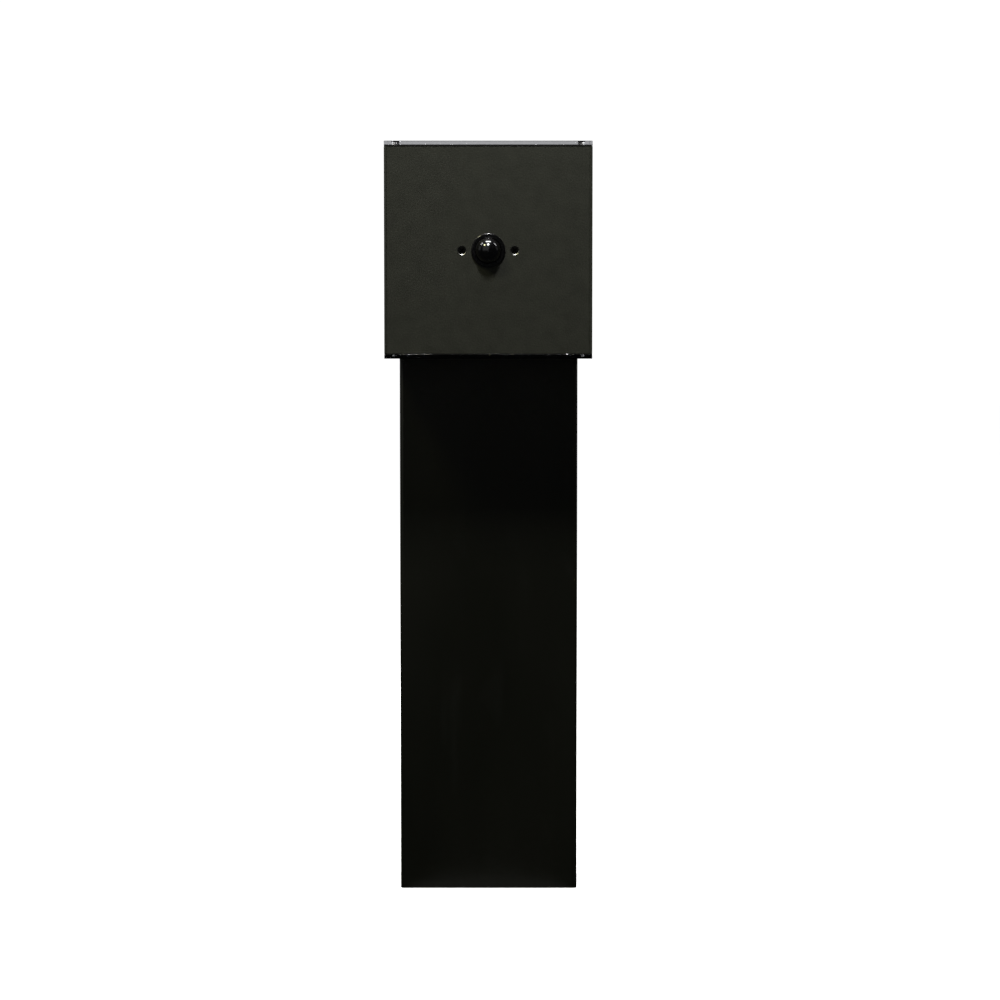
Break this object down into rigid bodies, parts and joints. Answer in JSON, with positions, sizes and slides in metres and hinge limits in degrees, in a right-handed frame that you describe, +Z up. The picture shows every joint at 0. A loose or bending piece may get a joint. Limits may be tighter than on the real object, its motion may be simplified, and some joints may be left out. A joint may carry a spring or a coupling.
{
  "type": "bollard light",
  "caption": "Solar bollard light: square head with a clear top plate, downlight and round motion sensor, cantilevered over a rectangular post on an anchor plate.",
  "frame": {"origin": "centre of the post's foot, on the ground, at the centre of the anchor bolt pattern", "axes": "+Z up along the post, -Y the front with the motion sensor, +X to the right for a person who faces the front panel"},
  "size_m": [0.25, 0.2725, 0.932],
  "materials": {
    "textured_panel": "matt fine-texture powder coat",
    "casing_paint": "matt fine-texture powder coat",
    "post_paint": "satin smooth powder coat",
    "clear_cover": "clear polycarbonate sheet, polished edge",
    "lens_plate": "smoked clear polycarbonate sheet",
    "black_rubber": "closed-cell rubber",
    "sensor_gloss": "high gloss black",
    "black_plastic": "moulded",
    "stainless": "stainless",
    "black_screw": "black oxide",
    "bare_aluminium": "mill finish",
    "galvanised": "galvanised steel",
    "panel_board": "laminate",
    "solar_cell": "monocrystalline cell",
    "white_board": "white solder mask",
    "emitter": "phosphor",
    "clear_optic": "moulded clear lens",
    "green_board": "solder mask",
    "bright_can": "nickel plated",
    "grey_case": "moulded case",
    "battery_wrap": "shrink sleeve",
    "strap_webbing": "woven strap",
    "cable_jacket": "cable jacket"
  },
  "bodies": {
    "root": {"anchor_base": "galvanised", "battery_cable": "cable_jacket", "battery_pack": "battery_wrap", "battery_strap": "strap_webbing", "battery_tray": "bare_aluminium", "battery_tray_screws": "black_screw", "bottom_gasket": "black_rubber", "bottom_lens": "lens_plate", "bottom_lens_screws": "stainless", "cable_grommet": "black_rubber", "charge_controller": "grey_case", "controller_screws": "stainless", "front_left_corner_post": "bare_aluminium", "front_plate": "textured_panel", "front_plate_nuts": "stainless", "front_right_corner_post": "bare_aluminium", "head_base_plate": "casing_paint", "head_base_screws": "stainless", "head_bolt_washers": "stainless", "head_bolts": "stainless", "head_shell": "casing_paint", "heat_sink_screws": "stainless", "led_board": "white_board", "led_board_screws": "stainless", "led_cable": "cable_jacket", "led_chips": "emitter", "led_heat_sink": "bare_aluminium", "led_optics": "clear_optic", "left_side_rail": "bare_aluminium", "neck_gasket": "black_rubber", "post_screws": "black_screw", "post_top_flange": "post_paint", "post_tube": "post_paint", "rear_left_corner_post": "bare_aluminium", "rear_right_corner_post": "bare_aluminium", "right_side_rail": "bare_aluminium", "sensor_board": "green_board", "sensor_bracket": "stainless", "sensor_cable": "cable_jacket", "sensor_collar": "sensor_gloss", "sensor_dome": "sensor_gloss", "sensor_element": "bright_can", "sensor_lock_ring": "black_plastic", "sensor_nuts": "stainless", "sensor_screws": "black_screw", "sensor_seal": "black_rubber", "sensor_spacers": "stainless", "solar_cable": "cable_jacket", "solar_cells": "solar_cell", "solar_junction_box": "black_plastic", "solar_panel": "panel_board", "solar_tray": "bare_aluminium", "top_cover": "clear_cover", "top_cover_screws": "stainless", "top_gasket": "black_rubber", "vent_plug": "black_plastic"}
  },
  "joints": []
}
